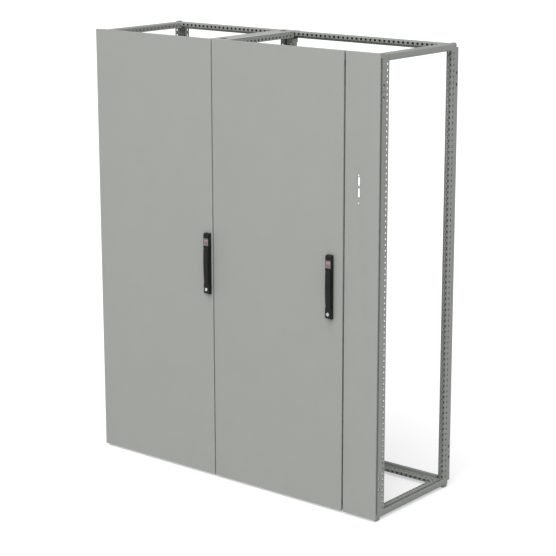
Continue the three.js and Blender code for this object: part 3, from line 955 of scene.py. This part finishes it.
def lock_cylinder(side):
    name = f"door_{side}_lock_cylinder"
    low, high = node_box(name)
    centre = ((low.x + high.x) / 2, (low.z + high.z) / 2)
    radius = (high.x - low.x) / 2
    front, back = low.y, high.y
    profile = [
        (0, front + 0.5),
        (radius - 1.6, front + 0.5),
        (radius - 1.3, front),
        (radius - 0.3, front),
        (radius, front + 0.3),
        (radius, back),
        (0, back),
    ]
    core = bmesh.new()
    revolve(core, along_y, centre, profile, 40)
    key = bmesh.new()
    prism(key, oval(centre, 1.3, 6.6), front - 2, front + 5, along_y)
    piece(f"{name}_core", core, chrome, f"lock_{side}", [name], [key])


def lock_gear(side):
    """The lock case inside the door, its screws, the two rods and the guides that hold them."""
    body = f"door_{side}"
    name = f"door_{side}_lock_case"
    low, high = node_box(name)
    case = bmesh.new()
    block(case, low, high, 1.2, 3)
    screws = bmesh.new()
    for x in (low.x + 4.5, high.x - 4.5):
        for z in (low.z + 7, high.z - 7, low.z + 44, high.z - 44):
            screw(screws, along_y, (x, z), high.y, 1)
    shaft = bmesh.new()
    centre = ((low.x + high.x) / 2, HANDLE_Z + SPINDLE_HEIGHT)
    cylinder(shaft, along_y, centre, 6.5, high.y - 2, high.y + 1.5, 32, 0.4)
    piece(f"{name}_housing", case, zinc, body, [name])
    piece(f"{name}_screws", screws, dark_steel, body)
    piece(f"{name}_shaft", shaft, chrome, body)

    guides = bmesh.new()
    slots = bmesh.new()
    guide_screws = bmesh.new()
    (_, _), (bar_right, _) = flat_corners(f"door_{side}_stiffener")
    bar_left = bar_right - CHANNEL_WIDTH
    for end in ("upper", "lower"):
        rod_name = f"door_{side}_rod_{end}"
        low, high = node_box(rod_name)
        bar = bmesh.new()
        block(bar, low, high, 0.7)
        piece(f"{rod_name}_bar", bar, zinc, f"rod_{end}_{side}", [rod_name])
        span = high.z - low.z
        for share in (0.12, 0.5, 0.88):
            z = low.z + share * span
            block(guides, (low.x - 4, 14.4, z - 9), (high.x + 4, 23, z + 9), 0.8)
            block(slots, (low.x - 0.6, 10, z - 12), (high.x + 0.6, high.y + 0.6, z + 12))
            middle = (bar_left + bar_right) / 2
            tab = sorted((middle + math.copysign(7, middle - low.x), (low.x + high.x) / 2))
            block(guides, (tab[0], 14.4, z - 7), (tab[1], 14.9, z + 7), 0.15)
            screw(guide_screws, along_y, (middle, z), 14.9, 1)
    guide_name = f"door_{side}_rod_guides"
    piece(guide_name, guides, black_plastic, body, cutters=[slots])
    piece(f"{guide_name}_screws", guide_screws, zinc, body)


# ---- Hinges ----------------------------------------------------------------------------------------------
def hinge(side, number):
    """One hinge: the door's leaf with two eyes, the frame's bracket between them, and the pin."""
    name = f"hinge_{side}_{number}"
    low, high = node_box(f"{name}_pin")
    x, y, z = (low + high) / 2
    leaf = bmesh.new()
    plate_y = SKIN + 0.3
    foot, head = z - BRACKET_HEIGHT / 2, z + BRACKET_HEIGHT / 2
    block(leaf, (x + 5, plate_y, foot), (x + 15, plate_y + 2, head), 0.6)
    for turn in (-1, 1):
        levels = sorted((z + turn * (ARM_HEIGHT / 2 + 0.3), z + turn * HINGE_LENGTH / 2))
        cylinder(leaf, along_z, (x, y), 4.3, *levels, 28, 0.5)
        block(leaf, (x + 1, y - 2.4, levels[0] + 0.5), (x + 12, y + 2.5, levels[1] - 0.5), 0.5)
    bore = bmesh.new()
    cylinder(bore, along_z, (x, y), PIN_RADIUS + PIN_PLAY, z - 60, z + 60, 24)
    piece(f"{name}_door_leaf", leaf, zinc, f"door_{side}", [f"{name}_leaf"], [bore])

    bracket = bmesh.new()
    face = post_front - 0.3
    block(bracket, (x - 1, face - 2, foot), (x + 13, face, head), 0.6)
    eye_low, eye_high = z - ARM_HEIGHT / 2, z + ARM_HEIGHT / 2
    block(bracket, (x + 0.8, y, eye_low), (x + 6, face - 1, eye_high), 0.8)
    cylinder(bracket, along_z, (x, y), 4.2, eye_low, eye_high, 28, 0.5)
    bore = bmesh.new()
    cylinder(bore, along_z, (x, y), PIN_RADIUS + PIN_PLAY, z - 60, z + 60, 24)
    piece(f"{name}_frame_bracket", bracket, zinc, "frame", [f"{name}_bracket"], [bore])

    pin = bmesh.new()
    half = HINGE_LENGTH / 2
    profile = [
        (0, z - half),
        (PIN_RADIUS - 0.6, z - half),
        (PIN_RADIUS, z - half + 0.8),
        (PIN_RADIUS, z + half + 0.1),
        (PIN_RADIUS + 1.2, z + half + 0.1),
        (PIN_RADIUS + 1.2, z + half + 1),
        (PIN_RADIUS + 0.4, z + half + 1.8),
        (0, z + half + 1.8),
    ]
    revolve(pin, along_z, (x, y), profile, 24)
    piece(f"{name}_hinge_pin", pin, zinc, "frame", [f"{name}_pin"])

    leaf_screws = bmesh.new()
    bracket_screws = bmesh.new()
    for dz in (-29, 29):
        screw(leaf_screws, along_y, (x + 10, z + dz), plate_y + 2, 1, 2.6, 1.6)
        screw(bracket_screws, along_y, (x + 7, z + dz), face - 2, -1, 2.6, 1.6)
    piece(f"{name}_leaf_screws", leaf_screws, dark_steel, f"door_{side}")
    piece(f"{name}_bracket_screws", bracket_screws, dark_steel, "frame")


def sealing_edges():
    """The thin upright edge round each door opening that the door's seal closes on."""
    for side in ("left", "right"):
        (x0, z0), (x1, z1) = flat_corners(f"door_{side}_seal")
        ring = bmesh.new()
        edge = [(0, 11.3), (WALL, 11.3), (WALL, post_front + 1), (0, post_front + 1)]
        mitred_ring(ring, rounded(edge, 0.5, 1), (x0 + 4, z0 + 4), (x1 - 4, z1 - 4))
        piece(f"sealing_edge_{side}", ring, frame_paint, "frame")


# ---- Assembly --------------------------------------------------------------------------------------------
corner_post("front_left", -1, -1)
corner_post("front_right", 1, -1)
corner_post("rear_left", -1, 1)
corner_post("rear_right", 1, 1)
rails()
middle_posts()
cross_rails()
flange_panel()
divider_end_shade_blocks()
sealing_edges()
for side in ("left", "right"):
    door_sheet(side)
    door_seal(side)
    door_stiffener(side)
    handle_base(side)
    handle_lever(side)
    handle_label(side)
    lock_cylinder(side)
    lock_gear(side)
    for number in (1, 2, 3):
        hinge(side, number)

CAD_FINISH = {
    "door_paint": door_paint,
    "frame_paint": frame_paint,
    "zinc_steel": zinc,
    "handle_plastic": black_plastic,
    "seal_rubber": seal_rubber,
    "lock_metal": chrome,
    "label_plate": label_plastic,
}
for subpart in frame["record"]["subparts"]:
    node = frame["nodes"][subpart["node"]]
    node.data.materials.clear()
    node.data.materials.append(CAD_FINISH[subpart["material_slot"]])


# ---- Stage, light and camera -----------------------------------------------------------------------------
def seen_or_not(tree, seen, lighting):
    """One strength for what is seen directly and another for the light that falls on the cabinet."""
    path = tree.nodes.new("ShaderNodeLightPath")
    strength = tree.nodes.new("ShaderNodeMapRange")
    strength.inputs["To Min"].default_value = lighting
    strength.inputs["To Max"].default_value = seen
    tree.links.new(path.outputs["Is Camera Ray"], strength.inputs["Value"])
    return strength.outputs["Result"]


def stage_floor():
    """A pale floor. It glows faintly for the camera alone, so that it meets the backdrop evenly."""
    mesh = bpy.data.meshes.new("floor")
    reach = 40
    corners = [(-reach, -reach, 0), (reach, -reach, 0), (reach, reach, 0), (-reach, reach, 0)]
    mesh.from_pydata(corners, [], [(0, 1, 2, 3)])
    floor = bpy.data.objects.new("floor", mesh)
    bpy.context.scene.collection.objects.link(floor)
    made, tree, shader = material("pale_floor", (0.72, 0.72, 0.72), 0.9)
    shader.inputs["Specular IOR Level"].default_value = 0.0
    shader.inputs["Emission Color"].default_value = (1, 1, 1, 1)
    glow = seen_or_not(tree, 0.5, 0.0)
    tree.links.new(glow, shader.inputs["Emission Strength"])
    mesh.materials.append(made)
    return floor


def studio_light():
    world = bpy.data.worlds.new("studio")
    bpy.context.scene.world = world
    world.use_nodes = True
    tree = world.node_tree
    background = tree.nodes["Background"]
    tree.links.new(seen_or_not(tree, 1.05, 0.36), background.inputs["Strength"])
    background.inputs["Color"].default_value = (1, 1, 1, 1)
    key = bpy.data.lights.new("key", "SUN")
    key.energy = 2.3
    key.angle = math.radians(60)
    lamp = bpy.data.objects.new("key", key)
    lamp.rotation_euler = (math.radians(32), 0, math.radians(10))
    bpy.context.scene.collection.objects.link(lamp)


def add_camera():
    """The camera, tilted down with a small lens shift."""
    data = bpy.data.cameras.new("camera")
    data.sensor_width = 36
    data.lens = 111.74
    data.shift_x = -0.025
    data.shift_y = -0.05
    camera = bpy.data.objects.new("camera", data)
    camera.location = (4.838, -5.602 + DOOR_FACE, 2.785)
    camera.rotation_euler = (math.radians(90 - 12.99), 0, math.radians(38.72))
    bpy.context.scene.collection.objects.link(camera)
    bpy.context.scene.camera = camera


stage_floor()
studio_light()
add_camera()
bpy.context.scene.view_settings.view_transform = "Standard"
